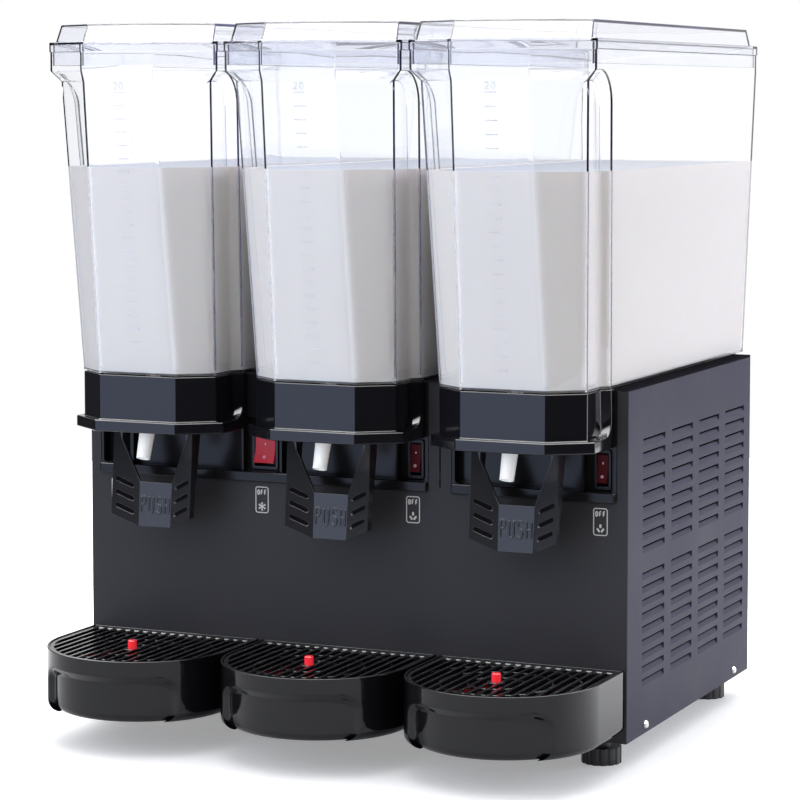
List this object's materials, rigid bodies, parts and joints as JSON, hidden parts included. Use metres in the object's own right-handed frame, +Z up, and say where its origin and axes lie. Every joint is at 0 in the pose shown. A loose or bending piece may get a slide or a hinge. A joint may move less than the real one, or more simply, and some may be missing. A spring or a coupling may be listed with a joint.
{
  "type": "cold drink dispenser",
  "caption": "Countertop cold drink dispenser with clear tanks side by side over a vented cooling cabinet, push-lever taps, rocker switches and rounded drip trays.",
  "frame": {"origin": "centre of the bounding box's bottom face, on the table under the feet", "axes": "+X to the right seen from the front, +Y from the front to the rear, +Z up"},
  "size_m": [0.5744, 0.564, 0.6945],
  "materials": {
    "front_paint": "satin charcoal",
    "side_paint": "satin grey",
    "deck_steel": "satin charcoal",
    "pan_metal": "galvanised",
    "screw_steel": "plain steel",
    "bezel_plastic": "fine matte",
    "switch_plastic": "matte black",
    "cooling_red": "translucent red",
    "mixer_red": "dark red",
    "nose_plastic": "gloss black",
    "lever_plastic": "half-matte black",
    "tube_silicone": "white silicone",
    "evaporator_steel": "brushed",
    "gasket_rubber": "tan rubber",
    "motor_metal": "grey",
    "compressor_paint": "gloss black",
    "grommet_rubber": "black rubber",
    "condenser_aluminium": "bare",
    "line_copper": "copper",
    "box_plastic": "matte black",
    "tank_clear": "clear moulded plastic",
    "lid_clear": "clear moulded plastic",
    "tray_plastic": "gloss black",
    "grille_plastic": "half-gloss black",
    "float_red": "red",
    "magnet_iron": "plain",
    "impeller_plastic": "white",
    "fan_plastic": "matte black",
    "foot_plastic": "matte black"
  },
  "bodies": {
    "cabinet": {"front_panel": "front_paint", "side_panel_left": "side_paint", "side_panel_right": "side_paint", "rear_panel": "side_paint", "top_deck": "deck_steel", "base_pan": "pan_metal", "cabinet_screws": "screw_steel", "bezel_double": "bezel_plastic", "bezel_single": "bezel_plastic", "switch_bodies": "switch_plastic", "tap_nose_left": "nose_plastic", "tap_nose_middle": "nose_plastic", "tap_nose_right": "nose_plastic", "outlet_tubes": "tube_silicone", "lever_pins": "screw_steel", "lever_springs": "screw_steel", "evaporators": "evaporator_steel", "tank_gaskets": "gasket_rubber", "mixer_motors": "motor_metal", "compressor": "compressor_paint", "compressor_grommets": "grommet_rubber", "condenser": "condenser_aluminium", "fan_motor": "motor_metal", "filter_drier": "line_copper", "refrigerant_lines": "line_copper", "control_box": "box_plastic", "mains_inlet": "box_plastic"},
    "tank_left": {"tank_left": "tank_clear"},
    "lid_left": {"lid_left": "lid_clear"},
    "push_lever_left": {"push_lever_left": "lever_plastic"},
    "drip_tray_left": {"drip_tray_left": "tray_plastic"},
    "drip_grille_left": {"drip_grille_left": "grille_plastic"},
    "float_left": {"float_left": "float_red"},
    "drive_magnet_left": {"drive_magnet_left": "magnet_iron"},
    "impeller_left": {"impeller_left": "impeller_plastic"},
    "tank_middle": {"tank_middle": "tank_clear"},
    "lid_middle": {"lid_middle": "lid_clear"},
    "push_lever_middle": {"push_lever_middle": "lever_plastic"},
    "drip_tray_middle": {"drip_tray_middle": "tray_plastic"},
    "drip_grille_middle": {"drip_grille_middle": "grille_plastic"},
    "float_middle": {"float_middle": "float_red"},
    "drive_magnet_middle": {"drive_magnet_middle": "magnet_iron"},
    "impeller_middle": {"impeller_middle": "impeller_plastic"},
    "tank_right": {"tank_right": "tank_clear"},
    "lid_right": {"lid_right": "lid_clear"},
    "push_lever_right": {"push_lever_right": "lever_plastic"},
    "drip_tray_right": {"drip_tray_right": "tray_plastic"},
    "drip_grille_right": {"drip_grille_right": "grille_plastic"},
    "float_right": {"float_right": "float_red"},
    "drive_magnet_right": {"drive_magnet_right": "magnet_iron"},
    "impeller_right": {"impeller_right": "impeller_plastic"},
    "cooling_rocker": {"cooling_rocker": "cooling_red"},
    "mixer_rocker_left": {"mixer_rocker_left": "mixer_red"},
    "mixer_rocker_middle": {"mixer_rocker_middle": "mixer_red"},
    "mixer_rocker_right": {"mixer_rocker_right": "mixer_red"},
    "condenser_fan": {"condenser_fan": "fan_plastic"},
    "foot_front_left": {"foot_front_left": "foot_plastic"},
    "foot_front_right": {"foot_front_right": "foot_plastic"},
    "foot_rear_left": {"foot_rear_left": "foot_plastic"},
    "foot_rear_right": {"foot_rear_right": "foot_plastic"}
  },
  "joints": [
    {"name": "lever_left_push", "type": "hinge", "parent": "cabinet", "child": "push_lever_left", "pos_m": [-0.19, -0.148, 0.34], "axis": [1, 0, 0], "range_deg": [0, 14], "stiffness_Nm_per_rad": 0.8, "springref_deg": -11.46},
    {"name": "tank_left_lift", "type": "slide", "parent": "cabinet", "child": "tank_left", "axis": [0, 0, 1], "range_m": [0, 0.18]},
    {"name": "lid_left_lift", "type": "slide", "parent": "tank_left", "child": "lid_left", "axis": [0, 0, 1], "range_m": [0, 0.1]},
    {"name": "tray_left_pull", "type": "slide", "parent": "cabinet", "child": "drip_tray_left", "axis": [0, -1, 0], "range_m": [0, 0.06]},
    {"name": "grille_left_lift", "type": "slide", "parent": "drip_tray_left", "child": "drip_grille_left", "axis": [0, 0, 1], "range_m": [0, 0.04]},
    {"name": "float_left_rise", "type": "slide", "parent": "drip_tray_left", "child": "float_left", "axis": [0, 0, 1], "range_m": [0, 0.02]},
    {"name": "magnet_left_spin", "type": "hinge", "parent": "cabinet", "child": "drive_magnet_left", "pos_m": [-0.19, 0.063, 0.4], "axis": [0, 0, 1], "continuous": true},
    {"name": "impeller_left_spin", "type": "hinge", "parent": "cabinet", "child": "impeller_left", "pos_m": [-0.19, 0.063, 0.495], "axis": [0, 0, 1], "continuous": true},
    {"name": "lever_middle_push", "type": "hinge", "parent": "cabinet", "child": "push_lever_middle", "pos_m": [0, -0.148, 0.34], "axis": [1, 0, 0], "range_deg": [0, 14], "stiffness_Nm_per_rad": 0.8, "springref_deg": -11.46},
    {"name": "tank_middle_lift", "type": "slide", "parent": "cabinet", "child": "tank_middle", "axis": [0, 0, 1], "range_m": [0, 0.18]},
    {"name": "lid_middle_lift", "type": "slide", "parent": "tank_middle", "child": "lid_middle", "axis": [0, 0, 1], "range_m": [0, 0.1]},
    {"name": "tray_middle_pull", "type": "slide", "parent": "cabinet", "child": "drip_tray_middle", "axis": [0, -1, 0], "range_m": [0, 0.06]},
    {"name": "grille_middle_lift", "type": "slide", "parent": "drip_tray_middle", "child": "drip_grille_middle", "axis": [0, 0, 1], "range_m": [0, 0.04]},
    {"name": "float_middle_rise", "type": "slide", "parent": "drip_tray_middle", "child": "float_middle", "axis": [0, 0, 1], "range_m": [0, 0.02]},
    {"name": "magnet_middle_spin", "type": "hinge", "parent": "cabinet", "child": "drive_magnet_middle", "pos_m": [0, 0.063, 0.4], "axis": [0, 0, 1], "continuous": true},
    {"name": "impeller_middle_spin", "type": "hinge", "parent": "cabinet", "child": "impeller_middle", "pos_m": [0, 0.063, 0.495], "axis": [0, 0, 1], "continuous": true},
    {"name": "lever_right_push", "type": "hinge", "parent": "cabinet", "child": "push_lever_right", "pos_m": [0.19, -0.148, 0.34], "axis": [1, 0, 0], "range_deg": [0, 14], "stiffness_Nm_per_rad": 0.8, "springref_deg": -11.46},
    {"name": "tank_right_lift", "type": "slide", "parent": "cabinet", "child": "tank_right", "axis": [0, 0, 1], "range_m": [0, 0.18]},
    {"name": "lid_right_lift", "type": "slide", "parent": "tank_right", "child": "lid_right", "axis": [0, 0, 1], "range_m": [0, 0.1]},
    {"name": "tray_right_pull", "type": "slide", "parent": "cabinet", "child": "drip_tray_right", "axis": [0, -1, 0], "range_m": [0, 0.06]},
    {"name": "grille_right_lift", "type": "slide", "parent": "drip_tray_right", "child": "drip_grille_right", "axis": [0, 0, 1], "range_m": [0, 0.04]},
    {"name": "float_right_rise", "type": "slide", "parent": "drip_tray_right", "child": "float_right", "axis": [0, 0, 1], "range_m": [0, 0.02]},
    {"name": "magnet_right_spin", "type": "hinge", "parent": "cabinet", "child": "drive_magnet_right", "pos_m": [0.19, 0.063, 0.4], "axis": [0, 0, 1], "continuous": true},
    {"name": "impeller_right_spin", "type": "hinge", "parent": "cabinet", "child": "impeller_right", "pos_m": [0.19, 0.063, 0.495], "axis": [0, 0, 1], "continuous": true},
    {"name": "cooling_rocker_press", "type": "hinge", "parent": "cabinet", "child": "cooling_rocker", "pos_m": [-0.095, -0.106, 0.2795], "axis": [1, 0, 0], "range_deg": [0, 18]},
    {"name": "mixer_rocker_left_press", "type": "hinge", "parent": "cabinet", "child": "mixer_rocker_left", "pos_m": [-0.2565, -0.106, 0.2795], "axis": [1, 0, 0], "range_deg": [0, 18]},
    {"name": "mixer_rocker_middle_press", "type": "hinge", "parent": "cabinet", "child": "mixer_rocker_middle", "pos_m": [0.0665, -0.106, 0.2795], "axis": [1, 0, 0], "range_deg": [0, 18]},
    {"name": "mixer_rocker_right_press", "type": "hinge", "parent": "cabinet", "child": "mixer_rocker_right", "pos_m": [0.2565, -0.106, 0.2795], "axis": [1, 0, 0], "range_deg": [0, 18]},
    {"name": "condenser_fan_spin", "type": "hinge", "parent": "cabinet", "child": "condenser_fan", "pos_m": [0.168, 0.078, 0.14], "axis": [1, 0, 0], "continuous": true},
    {"name": "foot_front_left_turn", "type": "hinge", "parent": "cabinet", "child": "foot_front_left", "pos_m": [-0.251, -0.096, 0.012], "axis": [0, 0, 1], "continuous": true},
    {"name": "foot_front_right_turn", "type": "hinge", "parent": "cabinet", "child": "foot_front_right", "pos_m": [0.251, -0.096, 0.012], "axis": [0, 0, 1], "continuous": true},
    {"name": "foot_rear_left_turn", "type": "hinge", "parent": "cabinet", "child": "foot_rear_left", "pos_m": [-0.251, 0.223, 0.012], "axis": [0, 0, 1], "continuous": true},
    {"name": "foot_rear_right_turn", "type": "hinge", "parent": "cabinet", "child": "foot_rear_right", "pos_m": [0.251, 0.223, 0.012], "axis": [0, 0, 1], "continuous": true}
  ],
  "couplings": [
    {"joint": "impeller_left_spin", "follows": "magnet_left_spin", "ratio": 1},
    {"joint": "impeller_middle_spin", "follows": "magnet_middle_spin", "ratio": 1},
    {"joint": "impeller_right_spin", "follows": "magnet_right_spin", "ratio": 1}
  ]
}
